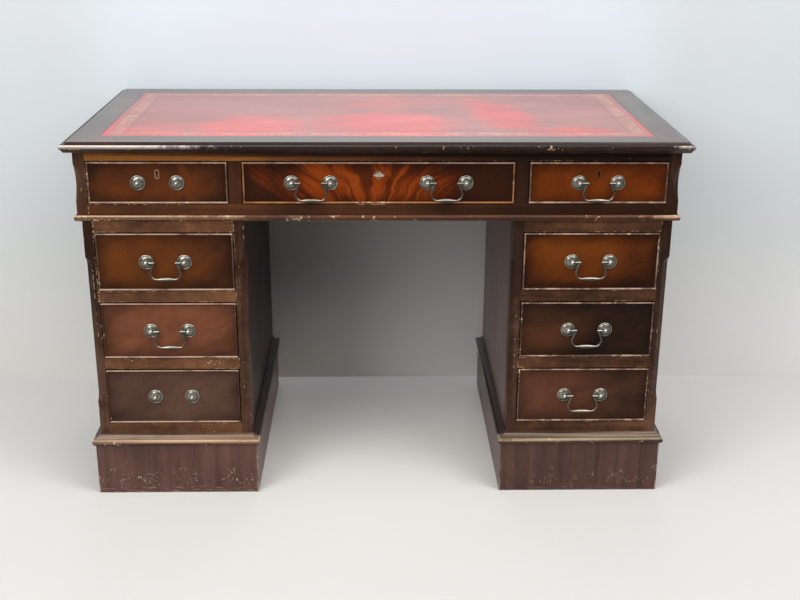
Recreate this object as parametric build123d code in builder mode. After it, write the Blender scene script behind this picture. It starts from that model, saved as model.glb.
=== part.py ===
from build123d import *
import os
from math import sqrt

# A kneehole writing desk: a leathered top and frieze on two drawer pedestals.
# Millimetres. The origin is on the floor under the middle, +X right, the front at -Y, +Z up.

# Overall size
desk_width = 1220
desk_depth = 610
desk_height = 762

# Top
top_thickness = 20
top_overhang_side = 17
top_overhang_front = 32
edge_width = 14
edge_flat = 3
edge_step = 1.6
edge_nose_low = 6
edge_nose_height = 10
edge_nose_swell = 3
edge_under = 4
edge_hollow = 1
leather_border = 64
leather_thickness = 1.2

# Frieze, the drawer section under the top
frieze_height = 142
frieze_upper_rail = 21.5
frieze_lower_rail = 34
frieze_post_width = 23
frieze_divider_width = 26
side_drawer_opening = 276
base_bead_height = 12
base_bead_proud = 6
base_bead_swell = 3.5
scallop_length = 74
scallop_width = 13.5

# Pedestals
pedestal_width = 317
pedestal_inset = 8
pedestal_post_width = 20.5
pedestal_rail_height = 24
drawers_per_pedestal = 3
chamfer_width = 12
chamfer_stop = 76
chamfer_scoop = 18

# Plinths
plinth_height = 112
plinth_proud = 10.5
plinth_board = 18
plinth_moulding_height = 23
plinth_moulding_proud = 16.5
plinth_moulding_flat = 2
plinth_nose_low = 2
plinth_nose_height = 12
plinth_nose_swell = 2.5
plinth_under = 1.5
plinth_hollow = 1.2

# Carcass boards
frame_depth = 45
panel_thickness = 15
back_thickness = 9
board_thickness = 15
runner_height = 20
runner_support = 14
guide_height = 18
guide_gap = 0.5
stop_width = 30
stop_depth = 12
stop_height = 6
stop_gap = 0.3
peg_radius = 5
peg_length = 30
peg_clearance = 0.1
peg_offset = 100

# Drawers
drawer_back_room = 57
drawer_gap = 1.2
rest_gap = 0.3
front_thickness = 20
bead_width = 4
bead_depth = 10
bead_proud = 2.5
bead_round = 1.8
lining_thickness = 10
side_drop = 5
bottom_thickness = 5
bottom_lift = 9
groove_depth = 5
groove_clearance = 0.1
tail_length = 8
tail_pitch = 36
tail_root = 0.28
tail_tip = 0.36

# Handles
handle_span = 76
centre_handle_offset = 133
rosette_radius = 14.8
rosette_rim = 2.6
rosette_boss = 4.4
rosette_swell = 0.8
post_neck_radius = 3.3
post_head_radius = 4.7
stud_radius = 2.5
stud_clearance = 0.1
nut_radius = 5.5
nut_thickness = 4
stud_proud = 2
pivot_out = 9.5
pivot_radius = 2
pivot_clearance = 0.05
knuckle_radius = 3.3
knuckle_gap = 0.5
bail_inside = 22.5
bail_reach = 31.5
bail_drop = 34.5
bail_shoulder = 22
bail_corner = 25
bail_bend = 11
bail_wire_radius = 2.2
grip_radius = 4.6
grip_length = 36

# Locks and key
key_rise = 20.5
keyhole_radius = 2.5
keyhole_slot = 2.6
keyhole_drop = 10
escutcheon_width = 10
escutcheon_height = 20.5
escutcheon_depth = 2.5
escutcheon_proud = 0.4
lock_width = 46
lock_height = 36
lock_depth = 9
lock_plate = 1.5
bit_room = 7.8
bit_reach = 7
bit_thickness = 1.8
bolt_width = 17.6
bolt_clearance = 0.2
bolt_travel = 6
key_clearance = 0.1
key_collar_radius = 3.6
key_bow_width = 23
key_bow_length = 16
key_bow_bar = 3.8
key_out = 28

# Places that follow from the sizes
frieze_half = desk_width / 2 - top_overhang_side
front_y = -(desk_depth / 2 - top_overhang_front)
back_y = -front_y
frame_back = front_y + frame_depth
panel_front = back_y - back_thickness
drawer_length = panel_front - front_y - drawer_back_room
top_bottom = desk_height - top_thickness
frieze_bottom = top_bottom - frieze_height
frieze_drawer_low = frieze_bottom + frieze_lower_rail
frieze_drawer_high = top_bottom - frieze_upper_rail
frieze_opening = frieze_drawer_high - frieze_drawer_low
frieze_outer = frieze_half - frieze_post_width
frieze_inner = frieze_outer - side_drawer_opening
centre_half = frieze_inner - frieze_divider_width
side_drawer_x = (frieze_outer + frieze_inner) / 2
partition_x = (frieze_inner + centre_half) / 2
pedestal_x = frieze_half - pedestal_inset - pedestal_width / 2
pedestal_opening_width = pedestal_width - 2 * pedestal_post_width
plinth_top = plinth_height + plinth_moulding_height
pedestal_rails = drawers_per_pedestal + 1
drawer_space = frieze_bottom - plinth_top - pedestal_rails * pedestal_rail_height
pedestal_opening = drawer_space / drawers_per_pedestal
pedestal_step = pedestal_opening + pedestal_rail_height
key_radius = keyhole_radius - key_clearance


def drawer_low(row):
    # Bottom of a pedestal opening, row 0 at the top
    return frieze_bottom - (row + 1) * pedestal_step


def board(x_min, x_max, y_min, y_max, z_min, z_max):
    with BuildPart() as piece:
        with BuildSketch(Plane.XY.offset(z_min)):
            with Locations(((x_min + x_max) / 2, (y_min + y_max) / 2)):
                Rectangle(x_max - x_min, y_max - y_min)
        extrude(amount=z_max - z_min)
    return piece.part


def place(pieces, x, y, z):
    return [piece.moved(Location((x, y, z))) for piece in pieces]


def save(name, pieces):
    solids = [solid for piece in pieces for solid in piece.solids()]
    group = Compound(solids)
    group.label = name
    export_step(group, f"parts/{name}.step")


# Mouldings and plinth boards: four lengths mitred round a carcass


def mitred_lengths(half_x, half_y, centre_x, base_z, outline, reach):
    lengths = []
    for out_x, out_y in ((0, -1), (1, 0), (0, 1), (-1, 0)):
        out = Vector(out_x, out_y, 0)
        along = Vector(out_y, -out_x, 0)
        half_out = half_x if out_x else half_y
        half_along = half_y if out_x else half_x
        middle = Vector(centre_x, 0, base_z) + out * half_out
        with BuildPart() as length:
            with BuildSketch(Plane(middle, x_dir=out, z_dir=along)):
                make_face(outline)
            extrude(amount=half_along + reach, both=True)
            for turn in (along, along * -1):
                corner = middle + turn * half_along
                split(bisect_by=Plane(corner, z_dir=turn - out), keep=Keep.BOTTOM)
        lengths.append(length.part)
    return lengths


def nosed_outline(proud, swell, low, nose, under, flat, height, step, hollow):
    # A rounded nose set back below, a hollow rising from it and a narrow flat at the top
    shoulder = proud - swell
    high = low + nose
    with BuildLine() as outline:
        Polyline((flat, height - step), (flat, height), (0, height), (0, 0), (shoulder - under, 0))
        Line((shoulder - under, 0), (shoulder, low))
        ThreePointArc((shoulder, low), (proud, low + nose / 2), (shoulder, high))
        SagittaArc((shoulder, high), (flat, height - step), hollow)
    return outline.edges()


def edge_outline():
    return nosed_outline(
        edge_width,
        edge_nose_swell,
        edge_nose_low,
        edge_nose_height,
        edge_under,
        edge_flat,
        top_thickness,
        edge_step,
        edge_hollow,
    )


def plinth_moulding_outline():
    return nosed_outline(
        plinth_moulding_proud,
        plinth_nose_swell,
        plinth_nose_low,
        plinth_nose_height,
        plinth_under,
        plinth_moulding_flat,
        plinth_moulding_height,
        plinth_moulding_flat,
        plinth_hollow,
    )


def base_bead_outline():
    shoulder = base_bead_proud - base_bead_swell
    with BuildLine() as outline:
        Polyline((shoulder, base_bead_height), (0, base_bead_height), (0, 0), (shoulder, 0))
        ThreePointArc(
            (shoulder, 0), (base_bead_proud, base_bead_height / 2), (shoulder, base_bead_height)
        )
    return outline.edges()


def plinth_board_outline():
    inner = plinth_proud - plinth_board
    with BuildLine() as outline:
        Polyline(
            (inner, 0), (plinth_proud, 0), (plinth_proud, plinth_height), (inner, plinth_height), close=True
        )
    return outline.edges()


# Corner posts: the front corner is cut at 45 degrees


def corner_plane(corner_x, hand):
    inward = Vector(-hand, 1, 0).normalized()
    return Plane((corner_x, front_y, 0), x_dir=inward, z_dir=inward.cross(Vector(0, 0, 1)))


def scallop_outline():
    middle = (frieze_drawer_low + frieze_drawer_high) / 2
    low = middle - scallop_length / 2
    high = middle + scallop_length / 2
    depth = scallop_width / sqrt(2)
    with BuildLine() as outline:
        ThreePointArc((0, low), (depth, middle), (0, high))
        Polyline((0, high), (-depth, high), (-depth, low), (0, low))
    return outline.edges()


def stopped_chamfer_outline():
    low = plinth_top + chamfer_stop
    high = frieze_bottom - chamfer_stop
    depth = chamfer_width / sqrt(2)
    with BuildLine() as outline:
        TangentArc((depth, high - chamfer_scoop), (0, high), tangent=(0, 1))
        Polyline((0, high), (-depth, high), (-depth, low), (0, low))
        TangentArc((depth, low + chamfer_scoop), (0, low), tangent=(0, -1))
        Line((depth, low + chamfer_scoop), (depth, high - chamfer_scoop))
    return outline.edges()


def corner_post(corner_x, hand, width, z_min, z_max, cut_outline, cut_width):
    with BuildPart() as post:
        with BuildSketch(Plane.XY.offset(z_min)):
            with Locations((corner_x - hand * width / 2, front_y + frame_depth / 2)):
                Rectangle(width, frame_depth)
        extrude(amount=z_max - z_min)
        with BuildSketch(corner_plane(corner_x, hand)):
            make_face(cut_outline)
        extrude(amount=cut_width, both=True, mode=Mode.SUBTRACT)
    return post.part


# Drawer boxes. The origin of a drawer is the bottom middle of its opening, in the front plane


def box_half(width):
    return width / 2 - drawer_gap


def box_inside(width):
    return box_half(width) - lining_thickness


def side_high(height):
    return height - drawer_gap - side_drop


back_low = bottom_lift + bottom_thickness + groove_clearance


def draw_tails(y_root, y_tip, low, high):
    count = max(2, round((high - low) / tail_pitch))
    pitch = (high - low) / count
    for row in range(count):
        middle = low + (row + 0.5) * pitch
        root = tail_root * pitch
        tip = tail_tip * pitch
        Polygon(
            (y_root, middle - root), (y_tip, middle - tip), (y_tip, middle + tip), (y_root, middle + root)
        )


def draw_front_tails(height):
    draw_tails(front_thickness, front_thickness - tail_length, rest_gap, side_high(height))


def draw_back_tails(height):
    draw_tails(drawer_length - lining_thickness, drawer_length, back_low, side_high(height))


def draw_keyhole(key_z, mode=Mode.ADD):
    with Locations((0, key_z)):
        Circle(keyhole_radius, mode=mode)
    with Locations((0, key_z - keyhole_drop / 2)):
        Rectangle(keyhole_slot, keyhole_drop, mode=mode)


def draw_escutcheon(key_z):
    with Locations((0, key_z + (keyhole_radius - keyhole_drop) / 2)):
        SlotOverall(escutcheon_height, escutcheon_width, rotation=90)


def key_height(height):
    return height / 2 + key_rise


def drawer_front(width, height, stud_places, locked):
    half = box_half(width)
    tall = height - 2 * drawer_gap
    middle = height / 2
    with BuildPart() as front:
        with BuildSketch(Plane.XZ.offset(-bead_depth)):
            with Locations((0, middle)):
                Rectangle(2 * (half - bead_width), tall - 2 * bead_width)
        extrude(amount=bead_depth)
        with BuildSketch(Plane.XZ.offset(-front_thickness)):
            with Locations((0, middle)):
                Rectangle(2 * half, tall)
        extrude(amount=front_thickness - bead_depth)
        for x_low in (-half, half - lining_thickness):
            with BuildSketch(Plane.YZ.offset(x_low)):
                draw_front_tails(height)
            extrude(amount=lining_thickness, mode=Mode.SUBTRACT)
        with BuildSketch(Plane.XZ.offset(-front_thickness)):
            with Locations((0, (bottom_lift + back_low) / 2)):
                Rectangle(2 * box_inside(width), back_low - bottom_lift)
        extrude(amount=groove_depth, mode=Mode.SUBTRACT)
        with BuildSketch(Plane.XZ.offset(-front_thickness)):
            with Locations(*[(x, middle) for x in stud_places]):
                Circle(stud_radius + stud_clearance)
        extrude(amount=front_thickness, mode=Mode.SUBTRACT)
        if locked:
            with BuildSketch(Plane.XZ.offset(-front_thickness)):
                with Locations((0, height - drawer_gap - lock_height / 2)):
                    Rectangle(lock_width, lock_height)
            extrude(amount=lock_depth, mode=Mode.SUBTRACT)
            with BuildSketch(Plane.XZ.offset(-front_thickness)):
                draw_keyhole(key_height(height))
            extrude(amount=front_thickness, mode=Mode.SUBTRACT)
            with BuildSketch(Plane.XZ.offset(-escutcheon_depth)):
                draw_escutcheon(key_height(height))
            extrude(amount=escutcheon_depth, mode=Mode.SUBTRACT)
    return front.part


def cockbeads(width, height):
    half = box_half(width)
    outer = (
        (-half, drawer_gap), (half, drawer_gap), (half, height - drawer_gap), (-half, height - drawer_gap)
    )
    strips = []
    for first in range(4):
        second = (first + 1) % 4
        quad = []
        for corner, inset in ((first, 0), (second, 0), (second, bead_width), (first, bead_width)):
            x, z = outer[corner]
            quad.append((x - inset if x > 0 else x + inset, z - inset if corner > 1 else z + inset))
        with BuildPart() as strip:
            with BuildSketch(Plane.XZ.offset(-bead_depth)):
                Polygon(*quad)
            extrude(amount=bead_depth + bead_proud)
            nose = strip.faces().sort_by(Axis.Y)[0]
            fillet(nose.edges().sort_by(SortBy.LENGTH)[-2:], bead_round)
        strips.append(strip.part)
    return strips


def drawer_side(width, height, hand):
    inside = hand * box_inside(width)
    high = side_high(height)
    shoulder = drawer_length - lining_thickness
    with BuildPart() as side:
        with BuildSketch(Plane.YZ.offset(inside)):
            Polygon(
                (front_thickness, rest_gap),
                (drawer_length, rest_gap),
                (drawer_length, back_low),
                (shoulder, back_low),
                (shoulder, high),
                (front_thickness, high),
            )
            draw_front_tails(height)
            draw_back_tails(height)
        extrude(amount=hand * lining_thickness)
        with BuildSketch(Plane.YZ.offset(inside)):
            with Locations(((front_thickness + drawer_length) / 2, (bottom_lift + back_low) / 2)):
                Rectangle(drawer_length - front_thickness, back_low - bottom_lift)
        extrude(amount=hand * groove_depth, mode=Mode.SUBTRACT)
    return side.part


def drawer_back(width, height):
    half = box_half(width)
    high = side_high(height)
    with BuildPart() as back:
        with BuildSketch(Plane.XZ.offset(-drawer_length)):
            with Locations((0, (back_low + high) / 2)):
                Rectangle(2 * half, high - back_low)
        extrude(amount=lining_thickness)
        for x_low in (-half, half - lining_thickness):
            with BuildSketch(Plane.YZ.offset(x_low)):
                draw_back_tails(height)
            extrude(amount=lining_thickness, mode=Mode.SUBTRACT)
    return back.part


def drawer_bottom(width):
    wide = box_inside(width) + groove_depth - groove_clearance
    narrow = box_inside(width) - groove_clearance
    start = front_thickness + groove_clearance
    with BuildPart() as bottom:
        with BuildSketch(Plane.XY.offset(bottom_lift)):
            with Locations((0, (start + drawer_length) / 2)):
                Rectangle(2 * wide, drawer_length - start)
            with Locations((0, start - groove_depth / 2)):
                Rectangle(2 * narrow, groove_depth)
        extrude(amount=bottom_thickness)
    return bottom.part


def drawer_box(width, height):
    return [
        drawer_side(width, height, -1),
        drawer_side(width, height, 1),
        drawer_back(width, height),
        drawer_bottom(width),
    ]


# Handles. The origin is the middle of the handle on the face of the drawer

rosette_neck = post_neck_radius + stud_clearance
boss_edge = 1.6 * rosette_neck
rim_inside = 0.84 * rosette_radius
with BuildPart() as rosette:
    with BuildSketch(Plane.XY):
        with BuildLine():
            Polyline(
                (rosette_neck, -rosette_boss),
                (rosette_neck, 0),
                (rosette_radius, 0),
                (rosette_radius, -rosette_rim / 2),
            )
            ThreePointArc(
                (rosette_radius, -rosette_rim / 2),
                ((rosette_radius + rim_inside) / 2, -rosette_rim),
                (rim_inside, -rosette_rim / 2),
            )
            SagittaArc((rim_inside, -rosette_rim / 2), (boss_edge, -rosette_boss), rosette_swell)
            Line((boss_edge, -rosette_boss), (rosette_neck, -rosette_boss))
        make_face()
    revolve(axis=Axis.Y)

stud_end = front_thickness + nut_thickness + stud_proud
neck_meet = pivot_out - sqrt(post_head_radius**2 - post_neck_radius**2)
with BuildPart() as handle_post:
    with BuildSketch(Plane.XY):
        with BuildLine():
            Polyline(
                (0, -pivot_out - post_head_radius),
                (0, stud_end),
                (stud_radius, stud_end),
                (stud_radius, 0),
                (post_neck_radius, 0),
                (post_neck_radius, -neck_meet),
            )
            ThreePointArc(
                (post_neck_radius, -neck_meet),
                (post_head_radius, -pivot_out),
                (0, -pivot_out - post_head_radius),
            )
        make_face()
    revolve(axis=Axis.Y)
    with BuildSketch(Plane.YZ):
        with Locations((-pivot_out, 0)):
            Circle(pivot_radius + pivot_clearance)
    extrude(amount=2 * post_head_radius, both=True, mode=Mode.SUBTRACT)

with BuildPart() as nut:
    with BuildSketch(Plane.XZ.offset(-front_thickness)):
        RegularPolygon(nut_radius, 6)
        Circle(stud_radius + stud_clearance, mode=Mode.SUBTRACT)
    extrude(amount=-nut_thickness)

pin_shoulder = handle_span / 2 - post_head_radius - knuckle_gap
pin_end = handle_span / 2 + post_head_radius / 2
with BuildPart() as bail:
    with BuildLine(Plane.XZ.offset(pivot_out)) as bail_path:
        FilletPolyline(
            (bail_inside, 0),
            (bail_reach, -bail_shoulder),
            (bail_corner, -bail_drop),
            (-bail_corner, -bail_drop),
            (-bail_reach, -bail_shoulder),
            (-bail_inside, 0),
            radius=bail_bend,
        )
    with BuildSketch(Plane(bail_path.line @ 0, z_dir=bail_path.line % 0)):
        Circle(bail_wire_radius)
    sweep(path=bail_path.line)
    with BuildSketch(Plane((0, -pivot_out, 0))):
        with BuildLine():
            ThreePointArc(
                (bail_inside - knuckle_radius, 0),
                (bail_inside - knuckle_radius * sqrt(0.5), knuckle_radius * sqrt(0.5)),
                (bail_inside, knuckle_radius),
            )
            Polyline(
                (bail_inside, knuckle_radius),
                (pin_shoulder, 0.85 * knuckle_radius),
                (pin_shoulder, pivot_radius),
                (pin_end, pivot_radius),
                (pin_end, 0),
                (bail_inside - knuckle_radius, 0),
            )
        make_face()
    revolve(axis=Axis((0, -pivot_out, 0), (1, 0, 0)))
    mirror(about=Plane.YZ)
    with BuildSketch(Plane((0, -pivot_out, -bail_drop))):
        with BuildLine():
            Polyline(
                (grip_length / -2, bail_wire_radius),
                (grip_length / -2, 0),
                (grip_length / 2, 0),
                (grip_length / 2, bail_wire_radius),
            )
            Spline(
                (grip_length / 2, bail_wire_radius), (0, grip_radius), (grip_length / -2, bail_wire_radius)
            )
        make_face()
    revolve(axis=Axis((0, -pivot_out, -bail_drop), (1, 0, 0)))


def handle_mounts(handle_x, height):
    pieces = []
    for hand in (-1, 1):
        pieces += place(
            [rosette.part, handle_post.part, nut.part], handle_x + hand * handle_span / 2, 0, height / 2
        )
    return pieces


# Locks of the frieze drawers, and the key. The key turns about the Y axis through its origin

bolt_front = front_thickness - lock_depth + lock_plate + bolt_clearance
bolt_back = front_thickness - lock_plate - bolt_clearance
bolt_low = key_height(frieze_opening) + bit_room + 2 * bolt_clearance
lock_high = frieze_opening - drawer_gap
key_z = key_height(frieze_opening)

with BuildPart() as escutcheon:
    with BuildSketch(Plane.XZ.offset(-escutcheon_depth)):
        draw_escutcheon(key_z)
        draw_keyhole(key_z, Mode.SUBTRACT)
    extrude(amount=escutcheon_depth + escutcheon_proud)

with BuildPart() as lock_case:
    with BuildSketch(Plane.XZ.offset(-front_thickness)):
        with Locations((0, lock_high - lock_height / 2)):
            Rectangle(lock_width, lock_height)
    extrude(amount=lock_depth)
    with BuildSketch(Plane.XZ.offset(lock_plate - front_thickness)):
        with Locations((0, key_z)):
            Circle(bit_room)
        with Locations((0, (bolt_low - bolt_clearance + lock_high) / 2)):
            Rectangle(bolt_width + 2 * bolt_clearance, lock_high - bolt_low + bolt_clearance)
    extrude(amount=lock_depth - 2 * lock_plate, mode=Mode.SUBTRACT)
    with BuildSketch(Plane.XZ.offset(lock_plate - front_thickness)):
        draw_keyhole(key_z)
    extrude(amount=lock_depth, mode=Mode.SUBTRACT)

bolt = board(-bolt_width / 2, bolt_width / 2, bolt_front, bolt_back, bolt_low, lock_high)

bow_start = key_out - key_bow_length
with BuildPart() as key:
    with BuildSketch(Plane.XZ.offset(-bolt_back)):
        Circle(key_radius)
    extrude(amount=bolt_back + bow_start + key_bow_bar / 2)
    with BuildSketch(Plane.XZ.offset(bow_start / 2)):
        Circle(key_collar_radius)
    extrude(amount=bow_start / 4)
    with BuildSketch(Plane.XY.offset(-bit_thickness / 2)):
        with Locations((bit_reach / 2, (bolt_front + bolt_back) / 2)):
            Rectangle(bit_reach, bolt_back - bolt_front - 2 * bolt_clearance)
    extrude(amount=bit_thickness)
    with BuildSketch(Plane.XY.offset(-key_bow_bar / 2)):
        with Locations((0, -bow_start - key_bow_length / 2)):
            Ellipse(key_bow_width / 2, key_bow_length / 2)
            Ellipse(
                key_bow_width / 2 - key_bow_bar, key_bow_length / 2 - key_bow_bar, mode=Mode.SUBTRACT
            )
    extrude(amount=key_bow_bar)

# Top

board_half_x = desk_width / 2 - edge_width
board_half_y = desk_depth / 2 - edge_width
leather_half_x = desk_width / 2 - leather_border
leather_half_y = desk_depth / 2 - leather_border
leather_bottom = desk_height - leather_thickness

with BuildPart() as top_board:
    with BuildSketch(Plane.XY.offset(top_bottom)):
        Rectangle(2 * board_half_x, 2 * board_half_y)
    extrude(amount=top_thickness)
    with BuildSketch(Plane.XY.offset(leather_bottom)):
        Rectangle(2 * leather_half_x, 2 * leather_half_y)
    extrude(amount=leather_thickness, mode=Mode.SUBTRACT)

with BuildPart() as writing_leather:
    with BuildSketch(Plane.XY.offset(leather_bottom)):
        Rectangle(2 * leather_half_x, 2 * leather_half_y)
    extrude(amount=leather_thickness)

# Frieze rails, with peg holes below and a mortise above each lock


def peg_places():
    for side in (-1, 1):
        for hand in (-1, 1):
            yield side * pedestal_x + hand * peg_offset, front_y + frame_depth / 2


with BuildPart() as frieze_lower:
    with BuildSketch(Plane.XY.offset(frieze_bottom)):
        with Locations((0, front_y + frame_depth / 2)):
            Rectangle(2 * frieze_outer, frame_depth)
        with Locations(*peg_places()):
            Circle(peg_radius + peg_clearance, mode=Mode.SUBTRACT)
    extrude(amount=peg_length / 2)
    with BuildSketch(Plane.XY.offset(frieze_bottom + peg_length / 2)):
        with Locations((0, front_y + frame_depth / 2)):
            Rectangle(2 * frieze_outer, frame_depth)
    extrude(amount=frieze_lower_rail - peg_length / 2)

lock_xs = (-side_drawer_x, 0, side_drawer_x)
with BuildPart() as frieze_upper:
    with BuildSketch(Plane.XY.offset(frieze_drawer_high)):
        with Locations((0, front_y + frame_depth / 2)):
            Rectangle(2 * frieze_outer, frame_depth)
    extrude(amount=frieze_upper_rail)
    with BuildSketch(Plane.XY.offset(frieze_drawer_high)):
        with Locations(*[(x, front_y + (bolt_front + bolt_back) / 2) for x in lock_xs]):
            Rectangle(bolt_width + 8 * bolt_clearance, bolt_back - bolt_front + 8 * bolt_clearance)
    extrude(amount=bolt_travel + drawer_gap, mode=Mode.SUBTRACT)

pegs = []
for peg_x, peg_y in peg_places():
    with BuildPart() as peg:
        with BuildSketch(Plane.XY.offset(frieze_bottom - peg_length / 2)):
            with Locations((peg_x, peg_y)):
                Circle(peg_radius)
        extrude(amount=peg_length)
    pegs.append(peg.part)

# Frieze panels, posts, dividers and the partitions behind them

panel_half = frieze_half - panel_thickness
end_panels = []
corner_posts = []
partitions = []
for side in (-1, 1):
    near, far = sorted((side * panel_half, side * frieze_half))
    end_panels.append(board(near, far, frame_back, back_y, frieze_bottom, top_bottom))
    corner_posts.append(
        corner_post(
            side * frieze_half,
            side,
            frieze_post_width,
            frieze_bottom,
            top_bottom,
            scallop_outline(),
            scallop_width,
        )
    )
    middle = side * partition_x
    half = frieze_divider_width / 2
    partitions.append(
        board(middle - half, middle + half, front_y, frame_back, frieze_drawer_low, frieze_drawer_high)
    )
    half = panel_thickness / 2
    partitions.append(
        board(middle - half, middle + half, frame_back, panel_front, frieze_bottom, top_bottom)
    )

# Runners, guides and stops: one pair under every drawer

runners = []
stops = []


def runner(wall_x, box_x, top_z):
    hand = 1 if box_x > wall_x else -1
    support = box_x + hand * runner_support
    guide = box_x - hand * guide_gap
    with BuildPart() as strip:
        with BuildSketch(Plane.XZ.offset(-frame_back)):
            Polygon(
                (wall_x, top_z - runner_height),
                (support, top_z - runner_height),
                (support, top_z),
                (guide, top_z),
                (guide, top_z + guide_height),
                (wall_x, top_z + guide_height),
            )
        extrude(amount=frame_back - panel_front)
    return strip.part


def drawer_supports(x, half, left_wall, right_wall, top_z):
    runners.append(runner(left_wall, x - half, top_z))
    runners.append(runner(right_wall, x + half, top_z))
    stop_front = front_y + front_thickness + stop_gap
    for hand in (-1, 1):
        middle = x + hand * half / 2
        stops.append(
            board(
                middle - stop_width / 2,
                middle + stop_width / 2,
                stop_front,
                stop_front + stop_depth,
                top_z,
                top_z + stop_height,
            )
        )


# Drawers: name, middle, bottom of the opening, opening size, handles, which handles keep a bail, lock

side_size = (side_drawer_opening, frieze_opening)
centre_size = (2 * centre_half, frieze_opening)
pedestal_size = (pedestal_opening_width, pedestal_opening)
one_handle = {"": 0}
two_handles = {"_left": -centre_handle_offset, "_right": centre_handle_offset}
drawers = [
    ("frieze_left", -side_drawer_x, frieze_drawer_low, side_size, one_handle, (), True),
    ("frieze_centre", 0, frieze_drawer_low, centre_size, two_handles, two_handles, True),
    ("frieze_right", side_drawer_x, frieze_drawer_low, side_size, one_handle, one_handle, True),
]
for row, level in enumerate(("upper", "middle", "lower")):
    for side, hand in ((-1, "left"), (1, "right")):
        kept = () if (hand, level) == ("left", "lower") else one_handle
        name = f"{hand}_{level}"
        drawers.append((name, side * pedestal_x, drawer_low(row), pedestal_size, one_handle, kept, False))

os.makedirs("parts", exist_ok=True)

for name, x, z, (width, height), handles, kept_bails, locked in drawers:
    studs = [at + hand * handle_span / 2 for at in handles.values() for hand in (-1, 1)]
    front = [drawer_front(width, height, studs, locked)] + cockbeads(width, height)
    save(f"{name}_drawer_front", place(front, x, front_y, z))
    save(f"{name}_drawer_box", place(drawer_box(width, height), x, front_y, z))
    brass = [piece for at in handles.values() for piece in handle_mounts(at, height)]
    if locked:
        brass += [lock_case.part, escutcheon.part]
    if locked and x:
        brass.append(bolt)
    save(f"{name}_brassware", place(brass, x, front_y, z))
    for mark in kept_bails:
        save(f"{name}{mark}_bail", place([bail.part], x + handles[mark], front_y, z + height / 2))

save("centre_key", place([key.part], 0, front_y, frieze_drawer_low + key_z))
save("centre_lock_bolt", place([bolt], 0, front_y, frieze_drawer_low))

inner_wall = partition_x - panel_thickness / 2
outer_wall = partition_x + panel_thickness / 2
side_half = box_half(side_drawer_opening)
drawer_supports(0, box_half(2 * centre_half), -inner_wall, inner_wall, frieze_drawer_low)
drawer_supports(-side_drawer_x, side_half, -panel_half, -outer_wall, frieze_drawer_low)
drawer_supports(side_drawer_x, side_half, outer_wall, panel_half, frieze_drawer_low)

# Pedestals

pedestal_half = pedestal_width / 2
wall_half = pedestal_half - panel_thickness
opening_half = pedestal_opening_width / 2
boards = []
backs = [board(-panel_half, panel_half, panel_front, back_y, frieze_bottom, top_bottom)]
for side, hand in ((-1, "left"), (1, "right")):
    x = side * pedestal_x
    sides = []
    posts = []
    for edge in (-1, 1):
        near, far = sorted((x + edge * wall_half, x + edge * pedestal_half))
        sides.append(board(near, far, frame_back, back_y, plinth_height, frieze_bottom))
        posts.append(
            corner_post(
                x + edge * pedestal_half,
                edge,
                pedestal_post_width,
                plinth_height,
                frieze_bottom,
                stopped_chamfer_outline(),
                chamfer_width,
            )
        )
    rail_span = (x - opening_half, x + opening_half, front_y, frame_back)
    with BuildPart() as top_rail:
        with BuildSketch(Plane.XY.offset(frieze_bottom - pedestal_rail_height)):
            with Locations((x, front_y + frame_depth / 2)):
                Rectangle(pedestal_opening_width, frame_depth)
        extrude(amount=pedestal_rail_height)
        with BuildSketch(Plane.XY.offset(frieze_bottom - peg_length / 2)):
            with Locations(*[(x + end * peg_offset, front_y + frame_depth / 2) for end in (-1, 1)]):
                Circle(peg_radius + peg_clearance)
        extrude(amount=peg_length / 2, mode=Mode.SUBTRACT)
    rails = [top_rail.part]
    for row in range(drawers_per_pedestal):
        top_z = drawer_low(row)
        last = row == drawers_per_pedestal - 1
        rails.append(board(*rail_span, plinth_height if last else top_z - pedestal_rail_height, top_z))
        drawer_supports(x, box_half(pedestal_opening_width), x - wall_half, x + wall_half, top_z)
    inside = (x - wall_half, x + wall_half)
    boards.append(board(*inside, frame_back, panel_front, frieze_bottom - board_thickness, frieze_bottom))
    boards.append(board(*inside, frame_back, panel_front, plinth_height, plinth_height + board_thickness))
    backs.append(board(*inside, panel_front, back_y, plinth_height, frieze_bottom))
    save(f"{hand}_pedestal_sides", sides)
    save(f"{hand}_pedestal_posts", posts)
    save(f"{hand}_pedestal_rails", rails)
    plinth = mitred_lengths(pedestal_half, back_y, x, 0, plinth_board_outline(), plinth_board)
    save(f"{hand}_plinth", plinth)
    moulding = mitred_lengths(
        pedestal_half, back_y, x, plinth_height, plinth_moulding_outline(), plinth_moulding_proud
    )
    save(f"{hand}_plinth_moulding", moulding)

save("top_board", [top_board.part])
save("writing_leather", [writing_leather.part])
save(
    "top_edge_moulding",
    mitred_lengths(board_half_x, board_half_y, 0, top_bottom, edge_outline(), edge_width),
)
save("frieze_rails", [frieze_upper.part, frieze_lower.part])
save("frieze_corner_posts", corner_posts)
save("frieze_end_panels", end_panels)
save("frieze_partitions", partitions)
save(
    "frieze_base_moulding",
    mitred_lengths(frieze_half, back_y, 0, frieze_bottom, base_bead_outline(), base_bead_proud),
)
save("back_panels", backs)
save("pedestal_boards", boards)
save("drawer_runners", runners)
save("drawer_stops", stops)
save("locating_pegs", pegs)
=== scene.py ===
"""Twin-pedestal writing desk: finishes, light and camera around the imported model."""

from math import pi, radians

import bpy
from mathutils import Matrix, Vector


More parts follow.
